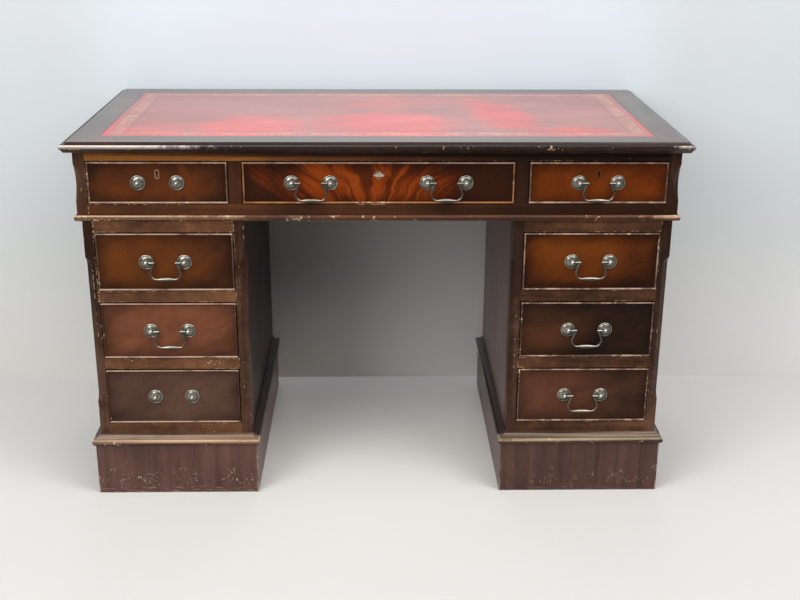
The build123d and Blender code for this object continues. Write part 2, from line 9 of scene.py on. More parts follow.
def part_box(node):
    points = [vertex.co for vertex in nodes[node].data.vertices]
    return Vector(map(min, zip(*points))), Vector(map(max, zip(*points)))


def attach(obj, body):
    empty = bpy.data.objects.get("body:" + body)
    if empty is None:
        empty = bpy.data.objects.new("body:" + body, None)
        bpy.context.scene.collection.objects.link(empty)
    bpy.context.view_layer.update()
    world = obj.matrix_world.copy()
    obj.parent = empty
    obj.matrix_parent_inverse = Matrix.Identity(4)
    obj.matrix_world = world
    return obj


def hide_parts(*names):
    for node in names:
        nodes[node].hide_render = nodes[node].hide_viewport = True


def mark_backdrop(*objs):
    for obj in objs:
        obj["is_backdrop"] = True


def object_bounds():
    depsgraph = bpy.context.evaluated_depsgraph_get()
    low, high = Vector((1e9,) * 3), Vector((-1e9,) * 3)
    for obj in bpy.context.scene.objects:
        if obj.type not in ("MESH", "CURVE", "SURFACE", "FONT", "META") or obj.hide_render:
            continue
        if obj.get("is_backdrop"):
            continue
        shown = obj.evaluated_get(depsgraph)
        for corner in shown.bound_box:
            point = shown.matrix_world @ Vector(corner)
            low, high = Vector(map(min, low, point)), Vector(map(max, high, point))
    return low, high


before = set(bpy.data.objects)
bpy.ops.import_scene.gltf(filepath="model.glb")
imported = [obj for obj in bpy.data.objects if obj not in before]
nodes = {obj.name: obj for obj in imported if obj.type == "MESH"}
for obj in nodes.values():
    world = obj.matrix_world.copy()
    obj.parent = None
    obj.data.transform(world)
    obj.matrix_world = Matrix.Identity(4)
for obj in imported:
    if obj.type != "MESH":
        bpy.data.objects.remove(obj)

cad_low, cad_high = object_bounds()
frieze_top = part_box("frieze_rails")[1].z
knee_half_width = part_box("right_pedestal_sides")[0].x
knee_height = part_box("frieze_base_moulding")[0].z
right_pedestal_middle = sum(corner.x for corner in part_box("right_pedestal_sides")) / 2
scene = bpy.context.scene
# Pieces that are shown in place of their nodes
shown = {}

# Sizes of the pieces that the finishes follow, in metres
bead_width = 0.004
bead_proud = 0.0025
bead_depth = 0.010
front_thickness = 0.020
lining_thickness = 0.010
handle_span = 0.076
rosette_radius = 0.0148
centre_handle_offset = 0.133
lock_width = 0.046
lock_height = 0.036
screw_radius = 0.0024
screw_height = 0.0016
screw_slot = 0.0006
screw_inset = 0.005
keyhole_plate_half_width = 0.007
keyhole_plate_depth = 0.003

# The tooled border of the leather: places of its lines, in from the edge, and their widths
gilt_fillets = (0.0175, 0.0365)
gilt_fillet_width = 0.0014
chain_place = 0.027
chain_half_width = 0.008
chain_step = 0.006
crease_place = 0.046
crease_width = 0.0018

# How the curved pieces are joined and shaded
merge_distance = 0.00001
smooth_angle = radians(32)

# Where the red of the leather shows bright through its painted sheen: middle, reach along and across, lean
# and strength
bright_red_patches = ((-0.27, -0.15, 0.13, 0.12, 0.0, 1.0), (0.01, -0.13, 0.16, 0.15, 0.0, 1.0),
             (0.262, -0.03, 0.075, 0.22, -0.2, 0.9), (-0.45, -0.17, 0.13, 0.12, 0.0, 0.65),
             (0.02, 0.1, 0.2, 0.13, 0.0, 0.5), (0.36, -0.2, 0.14, 0.06, 0.0, 0.7))

# Each drawer front takes its figure from another place in the noise
seed_step = 3.7

# Floor and wall. Behind and beside the desk, a reflection from within near_wall sees through the wall
stage_size = 14.0
wall_gap = 0.02
near_wall = 0.12

# Camera of the photograph
sensor_width = 36.0
lens = 52.652
camera_place = (-0.0112, -2.5052, 1.2455)
camera_yaw = radians(1.384)
camera_pitch = radians(20.006)
camera_roll = radians(0.349)


def linear(red, green, blue):
    """A screen colour, 0 to 255, as the linear colour that shaders take."""
    def channel(level):
        level = level / 255
        return level / 12.92 if level <= 0.04045 else ((level + 0.055) / 1.055) ** 2.4
    return (channel(red), channel(green), channel(blue), 1.0)


class Value:
    """One output of a finish's nodes. Sums on values add their Math nodes."""

    def __init__(self, finish, socket):
        self.finish = finish
        self.socket = socket

    def maths(self, operation, first, second=0.0):
        return self.finish.node("ShaderNodeMath", {"operation": operation}, {0: first, 1: second})

    def __add__(self, other):
        return self.maths("ADD", self, other)

    def __radd__(self, other):
        return self.maths("ADD", other, self)

    def __sub__(self, other):
        return self.maths("SUBTRACT", self, other)

    def __rsub__(self, other):
        return self.maths("SUBTRACT", other, self)

    def __mul__(self, other):
        return self.maths("MULTIPLY", self, other)

    def __rmul__(self, other):
        return self.maths("MULTIPLY", other, self)

    def __truediv__(self, other):
        return self.maths("DIVIDE", self, other)

    def __pow__(self, other):
        return self.maths("POWER", self, other)

    def __abs__(self):
        return self.maths("ABSOLUTE", self)

    def smaller(self, other):
        return self.maths("MINIMUM", self, other)

    def larger(self, other):
        return self.maths("MAXIMUM", self, other)

    def above(self, level):
        return self.maths("GREATER_THAN", self, level)

    def rise(self, low, high):
        """0 below low and 1 above high, with a smooth step between."""
        return self.finish.node(
            "ShaderNodeMapRange",
            {"interpolation_type": "SMOOTHSTEP"},
            {"Value": self, "From Min": low, "From Max": high},
        )

    def line(self, place, width):
        """1 along a thin line at that place, fading over its width."""
        return 1 - abs(self - place).rise(width * 0.3, width)


class Finish:
    """A material. Every node comes from its one node method."""

    def __init__(self, name):
        self.material = bpy.data.materials.new(name)
        self.material.use_nodes = True
        self.tree = self.material.node_tree
        self.tree.nodes.clear()
        self.point = self.node("ShaderNodeTexCoord", output="Object")
        self.x = self.node("ShaderNodeSeparateXYZ", sockets={0: self.point}, output="X")
        self.y = self.node("ShaderNodeSeparateXYZ", sockets={0: self.point}, output="Y")
        self.z = self.node("ShaderNodeSeparateXYZ", sockets={0: self.point}, output="Z")

    def node(self, kind, settings=None, sockets=None, output=0):
        made = self.tree.nodes.new(kind)
        for name, setting in (settings or {}).items():
            if name == "stops":
                self.set_stops(made.color_ramp, setting)
            else:
                setattr(made, name, setting)
        for key, value in (sockets or {}).items():
            if isinstance(value, Value):
                self.tree.links.new(value.socket, made.inputs[key])
            else:
                made.inputs[key].default_value = value
        return Value(self, made.outputs[output]) if made.outputs else made

    def set_stops(self, ramp, stops):
        while len(ramp.elements) < len(stops):
            ramp.elements.new(0.5)
        for element, (place, colour) in zip(ramp.elements, stops):
            element.position = place
            element.color = colour

    def vector(self, x, y, z):
        return self.node("ShaderNodeCombineXYZ", sockets={0: x, 1: y, 2: z})

    def noise(self, vector, scale=1.0, detail=3.0, roughness=0.55, distortion=0.0):
        return self.node(
            "ShaderNodeTexNoise",
            {},
            {"Vector": vector, "Scale": scale, "Detail": detail, "Roughness": roughness,
             "Distortion": distortion},
        )

    def ramp(self, value, *stops):
        return self.node("ShaderNodeValToRGB", {"stops": stops}, {0: value})

    def mix(self, factor, first, second):
        return self.node("ShaderNodeMix", {"data_type": "RGBA"},
                         {0: factor, 6: first, 7: second}, 2)

    def choose(self, factor, first, second):
        return self.node("ShaderNodeMix", {"data_type": "FLOAT"},
                         {0: factor, 2: first, 3: second}, 0)

    def darken(self, colour, level):
        return self.node("ShaderNodeMix", {"data_type": "RGBA", "blend_type": "MULTIPLY"},
                         {0: 1.0, 6: colour, 7: self.vector(level, level, level)}, 2)

    def soft_edge(self, radius):
        """The normal as it would be with every edge rounded to that radius."""
        return self.node("ShaderNodeBevel", {"samples": 4}, {"Radius": radius})

    def edges(self, radius, open_axes=(1, 1, 1)):
        """0 on a flat face, rising to about 0.75 on a square edge that lies open along those axes."""
        flat = self.node("ShaderNodeNewGeometry", output="True Normal")
        tilt = self.node("ShaderNodeVectorMath", {"operation": "SUBTRACT"},
                         {0: self.soft_edge(radius), 1: flat})
        tilt = self.node("ShaderNodeVectorMath", {"operation": "MULTIPLY"}, {0: tilt, 1: open_axes})
        return self.node("ShaderNodeVectorMath", {"operation": "LENGTH"}, {0: tilt}, "Value")

    def facing_up(self, sideways=0.0):
        """1 on a face that looks up, -1 on one that looks down, plus a share of its look to the right."""
        normal = self.node("ShaderNodeTexCoord", output="Normal")
        up = self.node("ShaderNodeSeparateXYZ", sockets={0: normal}, output="Z")
        return up + self.node("ShaderNodeSeparateXYZ", sockets={0: normal}, output="X") * sideways

    def bump(self, height, distance, normal):
        return self.node("ShaderNodeBump", {}, {"Height": height, "Distance": distance,
                                                "Normal": normal})

    def surface(self, sockets):
        shader = self.node("ShaderNodeBsdfPrincipled", {}, sockets)
        self.node("ShaderNodeOutputMaterial", {}, {"Surface": shader})
        return self.material


# Colours of the old polished mahogany, from deep shade to faded
brown_tones = (linear(26, 14, 9), linear(48, 27, 16), linear(76, 44, 26), linear(110, 64, 33),
               linear(160, 100, 46))
plinth_tones = (linear(32, 18, 15), linear(56, 33, 27), linear(82, 53, 45), linear(104, 72, 62),
                linear(140, 104, 88))
rail_tones = (linear(28, 16, 10), linear(52, 31, 20), linear(82, 53, 36), linear(112, 74, 50),
              linear(150, 106, 74))
post_tones = (linear(30, 18, 13), linear(54, 34, 25), linear(82, 57, 45), linear(110, 78, 62),
              linear(146, 108, 84))
tone_places = (0.15, 0.42, 0.6, 0.8, 1.0)

# Tones of worn, chipped and bare wood. The pale tones for noses and beads are part wear and part painted
# highlight, and the dull greyish tone is a painted sheen
rubbed_wood = linear(146, 104, 74)
dull_sheen_tone = linear(168, 142, 118)
bare_wood = linear(216, 182, 142)
bead_shine = linear(204, 170, 150)
bead_gold = linear(190, 128, 80)
nose_gold = linear(226, 184, 148)
nose_grey = linear(228, 214, 204)
nose_straw = linear(190, 172, 136)
nose_tan = linear(196, 156, 124)
scuff_pale = linear(204, 186, 170)
front_core = linear(104, 60, 36)
lining_pale = linear(178, 138, 92)
lining_dark = linear(134, 96, 58)


def frame_lay(node):
    """Grain that follows four mitred lengths round a frame."""
    low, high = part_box(node)
    return ((low.x + high.x) / 2, (high.x - low.x) / 2, (high.y - low.y) / 2)


def grain_places(finish, lay):
    """Coordinates along and across the grain. A lay is X, Y or Z, or a frame's centre and half sizes."""
    x, y, z = finish.x, finish.y, finish.z
    if lay == "X":
        return x, y, z
    if lay == "Y":
        return y, x, z
    if lay == "Z":
        return z, x, y
    centre, half_x, half_y = lay
    on_ends = (abs(x - centre) - abs(y)).above(half_x - half_y)
    return finish.choose(on_ends, x, y), finish.choose(on_ends, y, x), z


def grain(finish, lay):
    """Figure, clouds and pores of mahogany lying along its grain, each from 0 to 1."""
    along, across, depth = grain_places(finish, lay)
    ribbons = finish.vector(along * 1.8, across * 42, depth * 42)
    figure = finish.noise(ribbons, 1.0, 5.0, 0.6, 0.5)
    clouds = finish.noise(finish.point, 5.5, 3.0, 0.5, 0.3)
    dashes = finish.vector(along * 26, across * 620, depth * 620)
    pores = finish.noise(dashes, 1.0, 2.0, 0.5).rise(0.58, 0.72)
    return figure, clouds, pores


def polish(finish, colour, pores, rub, chip, specular, rub_and_highlight_tone=rubbed_wood, gloss=0.26, coat=0.0,
           chip_tone=bare_wood):
    """The polished surface: colour, rubbed and chipped edges, pores and a soft sheen."""
    # The rub takes its own tone, which on noses and beads is part wear and part painted highlight
    colour = finish.mix(rub, colour, rub_and_highlight_tone)
    colour = finish.mix(chip, colour, chip_tone)
    smears = finish.noise(finish.point, 9.0, 4.0, 0.6)
    height = smears * 0.2 - pores * 0.25 - chip
    return finish.surface({
        "Base Color": colour,
        "Roughness": gloss + smears * 0.12 + chip * 0.3,
        "Specular IOR Level": specular,
        "Coat Weight": coat,
        "Coat Roughness": 0.22,
        "Normal": finish.bump(height, 0.0004, finish.soft_edge(0.0012)),
    })


def wear(finish, edge, rubbed, chipped):
    """How far open edges are rubbed thin and how far they are chipped to bare wood."""
    patches = finish.noise(finish.point, 13.0, 3.0, 0.6)
    crumbs = finish.noise(finish.point, 140.0, 3.0, 0.65)
    rub = edge.rise(0.12, 0.6) * (patches + crumbs * 0.5 - 0.75 + rubbed).rise(0.0, 0.35)
    chip = edge.rise(0.05, 0.4) * (patches * 0.9 + crumbs - 1.07 + chipped).rise(0.0, 0.06)
    return rub, chip


def painted_highlight_ends(finish):
    """Painted highlight along a nose: 1 at its left end, most on the tip, 0 past the middle, some at the
    far right end.
    """
    tip = 1 - finish.x.rise(cad_low.x, cad_low.x + 0.035)
    far_end = finish.x.rise(cad_high.x - 0.17, cad_high.x - 0.01)
    return 1 - finish.x.rise(cad_low.x + 0.01, 0.1) + tip * 0.6 + far_end * 0.75


def specks(finish, amount):
    """Cream nicks scattered in clusters over a face."""
    nicks = finish.noise(finish.vector(finish.x * 190, finish.y * 190, finish.z * 330), 1.0, 3.0, 0.7)
    clusters = finish.noise(finish.point, 24.0, 3.0, 0.6)
    return (nicks + clusters * 0.75 - 1.16 + amount).rise(0.0, 0.07)


def mahogany(name, lay, tint, rubbed, chipped, specked=-1.0, open_axes=(1, 1, 1), tones=brown_tones,
             scuffs=None, wear_and_painted_light=None, specular=0.09, coat=0.0, chip_tone=bare_wood):
    """Dark polished mahogany with its open edges rubbed and chipped."""
    finish = Finish(name)
    figure, clouds, pores = grain(finish, lay)
    tone = figure * 0.6 + clouds * 0.55 - 0.1 + tint
    # A shift of tone: worn patches on some pieces, painted light and shade on others
    if wear_and_painted_light:
        tone = tone + wear_and_painted_light(finish)
    colour = finish.ramp(tone, *zip(tone_places, tones))
    colour = finish.darken(colour, 1 - pores * 0.35)
    rub, chip = wear(finish, finish.edges(0.003, open_axes), rubbed, chipped)
    chip = chip.larger(specks(finish, specked))
    if scuffs:
        chip = chip.larger(scuffs(finish))
    return polish(finish, colour, pores, rub, chip, specular, coat=coat, chip_tone=chip_tone)


def moulding(node, tint, rubbed, chipped, reach, end_highlight, dull_sheen, shine, coat, nose_tone, under):
    """A mitred moulding, in front rubbed along its nose, the rub part wear and part painted highlight on
    the nose's upper part, with a painted dull sheen on its slope, and painted shade that darkens its other
    sides and its runs by the knees.
    """
    finish = Finish(f"{node}_grain")
    centre, half_x, half_y = frame_lay(node)
    figure, clouds, pores = grain(finish, (centre, half_x, half_y))
    out = (abs(finish.x - centre) - half_x).larger(abs(finish.y) - half_y)
    in_front = 1 - (finish.y + half_y).rise(0.01, 0.03)
    towards_knees = finish.x * (1 if centre < 0 else -1)
    knee_edge = -0.26
    on_pedestal = 1 if abs(centre) > half_x else 0
    # Painted shade: the runs along the knees darker, and every side but the front a little darker
    shaded = towards_knees.rise(knee_edge - 0.02, knee_edge) * (1 - in_front) * on_pedestal
    tone = figure * 0.6 + clouds * 0.55 - 0.2 + in_front * 0.1 + tint - shaded * 0.3
    colour = finish.ramp(tone, *zip(tone_places, brown_tones))
    up = finish.facing_up()
    # Painted sheen: a dull greyish tone on the upward slope in front, less of it towards the knees
    slope = out.rise(-reach * 6, -reach * 4) * in_front * up.rise(0.2, 0.6)
    slope = slope * (1 - towards_knees.rise(knee_edge - 0.24, knee_edge) * 0.6)
    colour = finish.mix(slope * (figure + clouds - 0.35).rise(0.2, 0.9) * dull_sheen, colour, dull_sheen_tone)
    nose = out.rise(-reach, -reach * 0.3) * (0.2 + in_front * 0.8)
    # Along the nose the rub is part wear and part painted highlight, more at the ends and only on the
    # nose's upper part
    rub, chip = wear(finish, nose, painted_highlight_ends(finish) * end_highlight + rubbed, chipped)
    rub = rub * up.rise(under, under + 0.45)
    chip = chip.larger(specks(finish, chipped - 0.02) * 0.8) * (0.15 + in_front * 0.85)
    return polish(finish, colour, pores, rub * 0.9, chip, shine, nose_tone, gloss=0.2,
                  coat=0.04 + up.rise(0.85, 0.98) * coat)


def plinth_scuffs(finish):
    """Pale knocks in a band above the floor, scratches at the foot and bare lower corners."""
    ticks = finish.noise(finish.vector(finish.x * 300, finish.y * 300, finish.z * 120), 1.0, 3.0, 0.65)
    groups = finish.noise(finish.point, 30.0, 3.0, 0.6)
    band = finish.z.rise(0.004, 0.02) * (1 - finish.z.rise(0.03, 0.1))
    knocks = (ticks + groups * 0.45 + band * 0.2 - 1.01).rise(0.0, 0.1)
    scratches = finish.noise(finish.vector(finish.x * 40, finish.y * 40, finish.z * 560), 1.0, 3.0, 0.7)
    foot = 1 - finish.z.rise(0.004, 0.035)
    knocks = knocks.larger((scratches + foot * 0.18 - 0.74).rise(0.0, 0.08) * 0.5)
    slanting = finish.vector((finish.x - finish.z) * 260, finish.y * 260, (finish.x + finish.z) * 18)
    strokes = finish.noise(slanting, 1.0, 2.0, 0.5).rise(0.7, 0.8) * groups.rise(0.45, 0.6)
    knocks = knocks.larger(strokes * 0.35)
    corner = finish.edges(0.005, (1, 1, 0)).rise(0.1, 0.5) * (groups + foot * 0.45 - 0.5).rise(0.0, 0.2)
    return (knocks * (1 - finish.x.above(0.0) * 0.55)).larger(corner) * 0.8


def patched(finish, amount):
    """Lighter and darker patches a thumb wide, as worn polish has."""
    return (finish.noise(finish.point, 36.0, 4.0, 0.6) - 0.5) * amount


def rail_fade(finish):
    """Pedestal rails with their polish worn in patches."""
    return patched(finish, 0.45)


def frieze_painted_light(finish):
    """Painted light on the rails: golden above the drawers at the left end, darker to the right, and a
    painted shadow close under the top.
    """
    upper = finish.z.rise(frieze_top - 0.042, frieze_top - 0.022)
    golden = (1 - finish.x.rise(-0.6, 0.5)) * (0.1 + upper * 0.6) - finish.x.rise(-0.3, 0.5) * 0.12
    return golden - finish.z.rise(frieze_top - 0.017, frieze_top - 0.009) * 0.5


def frieze_post_painted_light(finish):
    """Painted light: the corner post at the left end lighter, the other dark."""
    return finish.x.rise(-0.2, 0.2) * -0.24


def post_patches_and_painted_shade(finish):
    """Posts lighter towards the foot, those by the knees less, darker under the frieze as painted shade,
    and worn in patches.
    """
    outer = abs(finish.x).rise(0.3, 0.5)
    foot = 1 - finish.z.rise(0.12, 0.5)
    # Painted shade under the frieze
    painted_shade_under_frieze = finish.z.rise(knee_height - 0.18, knee_height - 0.02)
    return foot * (0.06 + outer * 0.18) - painted_shade_under_frieze * 0.06 + patched(finish, 0.45)


def side_painted_light(finish):
    """Painted light: the side by the knees lighter, the outer one as dark as the backs."""
    return finish.x.above(right_pedestal_middle) * -0.24


def waxed(finish, figure, clouds, pores):
    """Pale hardwood, waxed and unpolished, with its pores open."""
    colour = finish.ramp(figure * 0.6 + clouds * 0.5 - 0.05, (0.25, lining_dark), (0.75, lining_pale))
    colour = finish.darken(colour, 1 - pores * 0.3)
    normal = finish.bump(figure * 0.4 - pores, 0.0003, finish.soft_edge(0.0008))
    return finish.surface({"Base Color": colour, "Roughness": 0.55 + figure * 0.2,
                           "Specular IOR Level": 0.35, "Normal": normal})


def lining(name, lay):
    """The boards inside the carcass, with the grain of all of them one way."""
    finish = Finish(name)
    figure, clouds, pores = grain(finish, lay)
    return waxed(finish, figure, clouds, pores)


def drawer_lining(name, centre_x, half_width):
    """The box of one drawer: the grain of its sides runs front to back, of the rest side to side."""
    finish = Finish(name)
    on_sides = abs(finish.x - centre_x).above(half_width - lining_thickness - 0.0005)
    along = finish.choose(on_sides, finish.x, finish.y)
    across = finish.choose(on_sides, finish.y, finish.x)
    figure = finish.noise(finish.vector(along * 2, across * 45, finish.z * 45), 1.0, 5.0, 0.6, 0.5)
    dashes = finish.vector(along * 60, across * 1300, finish.z * 1300)
    pores = finish.noise(dashes, 1.0, 2.0).rise(0.58, 0.72)
    clouds = finish.noise(finish.point, 6.0, 3.0)
    return waxed(finish, figure, clouds, pores)


def plain_figure(finish, u, v, seed):
    """Quiet veneer: clouds crossed by faint slanting stripes."""
    slant = finish.vector(u * 9 + v * 5 + seed, v * 16 - u * 8, seed)
    return finish.noise(slant, 1.0, 5.0, 0.55, 0.6)


def streaked_figure(finish, u, v, seed):
    """Quiet veneer with one warm streak that leans to the right on its way down."""
    streak = (u + v * 0.28).line(0.058, 0.011) * finish.noise(finish.point, 40.0, 3.0).rise(0.3, 0.6)
    return plain_figure(finish, u, v, seed) + streak * 0.5


def flame_figure(finish, u, v, seed):
    """Crotch veneer: bright plumes stand by the key and lean outwards on both sides, dark at the ends."""
    sway = finish.noise(finish.vector(u * 9 + seed, v * 16, seed), 1.0, 3.0, 0.5) - 0.5
    lean = (u * 7).smaller(1.0).larger(-1.0)
    across = u - v * lean * 1.4 + sway * 0.07
    plumes = finish.noise(finish.vector(across * 34, v * 7, seed), 1.0, 3.0, 0.5, 0.4)
    threads = finish.noise(finish.vector(across * 150, v * 12, seed + 4), 1.0, 3.0, 0.65, 0.3)
    heart = 1 - abs(u + 0.03).rise(0.07, 0.23)
    flare = (1 - abs(u + 0.232 + v * 0.3).rise(0.006, 0.034)) * v.rise(-0.03, 0.02)
    flames = (plumes + threads * 0.3 - 0.5).rise(0.0, 0.36) * (0.3 + heart * 0.7)
    by_handle = 1 - abs(u + 0.125).rise(0.015, 0.06)
    glow = heart * 0.12 + flare * (0.2 + plumes * 0.5) + by_handle * 0.16
    return flames * 0.75 + threads * 0.3 + glow - 0.07


def drawer_veneer(name, box, seed, lower_bead, figure, glow_place, glow_reach, edge_shade, upright_rub,
                  broken, tones):
    """One drawer front: figured veneer shaded towards its edges, with worn cock beads round it, their
    crests part wear and part painted highlight and their outer rims darkened as painted shade.
    """
    low, high = box
    centre_x, centre_z = (low.x + high.x) / 2, (low.z + high.z) / 2
    half_x, half_z = (high.x - low.x) / 2, (high.z - low.z) / 2
    finish = Finish(name)
    u, v = finish.x - centre_x, finish.z - centre_z
    lines = figure(finish, u, v, seed)
    fine = finish.noise(finish.vector(u * 420, finish.y * 420, v * 60), 1.0, 2.0)
    pores = fine.rise(0.58, 0.72)
    glow_u, glow_v = glow_place
    glow = 1 - (((u / half_x - glow_u) ** 2) + ((v / half_z - glow_v) ** 2) * 0.6).rise(0.0, glow_reach)
    inset = (half_x - abs(u)).smaller(half_z - abs(v))
    shaded = inset.rise(0.002, 0.03) * edge_shade + 1 - edge_shade
    tone = lines * 0.75 + glow * 0.36 - 0.1 + fine * 0.1
    dark, mid, light = tones
    colour = finish.ramp(tone, (0.22, dark), (0.5, mid), (0.8, light))
    colour = finish.darken(colour, shaded * (1 - pores * 0.25))
    on_bead = 1 - inset.rise(bead_width - 0.0003, bead_width + 0.0003)
    colour = finish.mix(on_bead, colour, finish.mix(lines, brown_tones[0], brown_tones[2]))
    # Painted shade: the bead's outer rim darkened as though in the shadow of the gap round the drawer
    colour = finish.darken(colour, 0.35 + inset.rise(0.0, 0.0016) * 0.65)
    behind = (finish.y - low.y).rise(bead_depth + 0.0005, bead_depth + 0.001)
    colour = finish.mix(behind, colour, finish.mix(lines, brown_tones[2], front_core))
    crest = on_bead * (1 - (finish.y - low.y).rise(0.0004, 0.0019)) * inset.rise(0.0004, 0.0013)
    # Along the beads the rub is part wear and part painted highlight, most on the lying beads
    lying = abs(v).rise(half_z - bead_width - 0.0005, half_z - bead_width)
    rub, chip = wear(finish, crest * (0.32 + lying * 0.68), 0.0, -0.05)
    uneven = finish.noise(finish.point, 30.0, 3.0).rise(0.15, 0.55)
    rub = rub.larger(crest * (upright_rub + lying * (0.85 - upright_rub)) * uneven)
    gaps = 1 - finish.noise(finish.point, 50.0, 3.0, 0.6).rise(0.42, 0.58)
    rub = rub * (1 - gaps * broken)
    dents = finish.noise(finish.vector(u * 90, finish.y * 90, v * 60), 1.0, 4.0, 0.7).rise(0.72, 0.75)
    slanting = finish.vector((u * 0.7 - v * 0.7) * 420, (u * 0.7 + v * 0.7) * 13, seed)
    scratches = finish.noise(slanting, 1.0, 2.0, 0.5).rise(0.7, 0.76) * (1 - on_bead)
    chip = chip.larger(dents * 0.5).larger(scratches * 0.04)
    bead_tone = finish.mix(v.above(half_z - bead_width), lower_bead, bead_shine)
    return polish(finish, colour, pores, rub, chip, 0.07, bead_tone)


def red_skiver(name, box):
    """Red writing leather: bright red in patches, elsewhere a dull greyish pink that is painted sheen,
    with a gilt border worn dim.
    """
    low, high = box
    half_x, half_y = (high.x - low.x) / 2, (high.y - low.y) / 2
    finish = Finish(name)
    inset = (half_x - abs(finish.x)).smaller(half_y - abs(finish.y))
    clouds = finish.noise(finish.point, 4.0, 5.0, 0.6, 0.4)
    streaks = finish.noise(finish.vector(finish.x * 3.5, finish.y * 8, 0.0), 1.0, 5.0, 0.65, 0.6)
    smudges = finish.noise(finish.vector(finish.x * 8, finish.y * 16, 3.0), 1.0, 4.0, 0.6, 1.0)
    pebble = finish.node("ShaderNodeTexVoronoi", {"feature": "SMOOTH_F1"},
                         {"Vector": finish.point, "Scale": 780.0, "Smoothness": 0.6})
    red = finish.ramp(clouds * 0.7 + streaks * 0.6 - 0.15,
                      (0.25, linear(158, 44, 46)), (0.5, linear(190, 66, 64)), (0.75, linear(210, 96, 90)))
    # Painted sheen: a dull greyish pink wherever the leather is not bright red
    dull_sheen = finish.mix(streaks, linear(112, 68, 64), linear(164, 116, 112))
    bright = 0.0
    for rest_x, rest_y, reach_x, reach_y, lean, strength in bright_red_patches:
        along = (finish.x - rest_x - (finish.y - rest_y) * lean) / reach_x
        away = (along ** 2 + ((finish.y - rest_y) / reach_y) ** 2) ** 0.5
        bright = ((1 - away.rise(0.3, 1.6)) * strength).larger(bright)
    bright = (bright + (streaks - 0.5) * 1.5 + (smudges - 0.5) * 0.9).rise(0.2, 0.95)
    colour = finish.mix(0.16 + bright * 0.76, dull_sheen, red)
    gilt_wear = finish.noise(finish.point, 45.0, 4.0, 0.7).rise(0.42, 0.62)
    repeat = finish.node("ShaderNodeMath", {"operation": "PINGPONG"},
                         {0: finish.x + finish.y, 1: chain_step}) / chain_step
    chain = (abs(inset - chain_place) / chain_half_width + repeat * 0.8).line(0.9, 0.35)
    gilt = chain * 0.45
    for fillet_place in gilt_fillets:
        gilt = gilt.larger(inset.line(fillet_place, gilt_fillet_width))
    band = inset.rise(0.014, 0.019) * (1 - inset.rise(0.035, 0.041))
    hidden = (1 - inset.rise(0.009, 0.015)) * (1 - finish.y.rise(-0.2, 0.1) * 0.8)
    colour = finish.mix(hidden * 0.6, colour, linear(206, 56, 60))
    colour = finish.mix(band * (0.1 + gilt_wear * 0.3), colour, linear(186, 140, 120))
    colour = finish.mix(gilt * gilt_wear * 0.5, colour, linear(222, 186, 136))
    crease = inset.line(crease_place, crease_width)
    colour = finish.mix(crease * 0.35, colour, linear(96, 34, 30))
    colour = finish.mix((1 - inset.rise(0.0015, 0.0042)) * 0.85, colour, linear(46, 20, 18))
    height = pebble * 0.5 + clouds * 0.6 - gilt * 0.8 - crease
    normal = finish.bump(height, 0.0003, finish.node("ShaderNodeNewGeometry", output="Normal"))
    return finish.surface({"Base Color": colour, "Roughness": 0.3 + clouds * 0.16,
                           "Specular IOR Level": 0.7, "Normal": normal})


def old_brass(name, light, dark, shade=None, plate_place=None, plate_tone=None):
    """Cast brass, grey in its hollows, rubbed bright on its rims. A shade, where given, adds painted
    light, and on rosettes tarnish. A keyhole plate has its own tone.
    """
    finish = Finish(name)
    tarnish = finish.noise(finish.point, 70.0, 3.0, 0.55)
    edge = finish.edges(0.0016).rise(0.05, 0.5)
    clean = 0.35 + tarnish * 0.6 + edge * 0.5
    if shade:
        clean = clean * shade(finish)
    colour = finish.mix(clean.smaller(1.0), dark, light)
    if plate_place:
        plate_x, plate_back = plate_place
        beside = abs(finish.x - plate_x).rise(keyhole_plate_half_width - 0.0005, keyhole_plate_half_width)
        on_plate = (1 - beside) * (1 - finish.y.above(plate_back))
        colour = finish.mix(on_plate, colour, plate_tone)
    normal = finish.bump(tarnish, 0.0001, finish.soft_edge(0.0006))
    return finish.surface({"Base Color": colour, "Metallic": 0.95,
                           "Roughness": 0.24 - edge * 0.06 + tarnish * 0.12, "Normal": normal})


def bail_painted_light(finish):
    """Painted light on a bail: lighter on faces that look up, darker on those that look down."""
    return 0.12 + finish.facing_up().rise(-0.25, 0.9) * 0.98


def rosette_tarnish_and_light(centre_x, centre_z, handle_offset):
    """Tarnish on the dome of every rosette on a drawer, thickest in the groove inside its rim, with
    painted light over it: lighter to the upper left, darker to the lower right, and a painted highlight on
    the boss.
    """
    def shade(finish):
        along = abs(abs(abs(finish.x - centre_x) - handle_offset) - handle_span / 2)
        radius = (along ** 2 + (finish.z - centre_z) ** 2) ** 0.5 / rosette_radius
        dome = radius.rise(0.3, 0.5) * (1 - radius.rise(0.86, 0.94))
        # Painted highlight on the boss
        boss = 1 - radius.rise(0.22, 0.32)
        # Painted light: the upper left of each rosette lighter, the lower right darker
        upper = finish.facing_up(-0.5).rise(-0.5, 0.6)
        return (1 + boss * 0.4 - dome * (0.25 + radius.rise(0.6, 0.84) * 0.4)) * (0.3 + upper * 0.9)
    return shade


def dress(node, material):
    """Give a node, or the piece that is shown in its place, one material all over."""
    piece = shown.get(node, nodes[node])
    for material_slot in piece.material_slots:
        material_slot.material = material


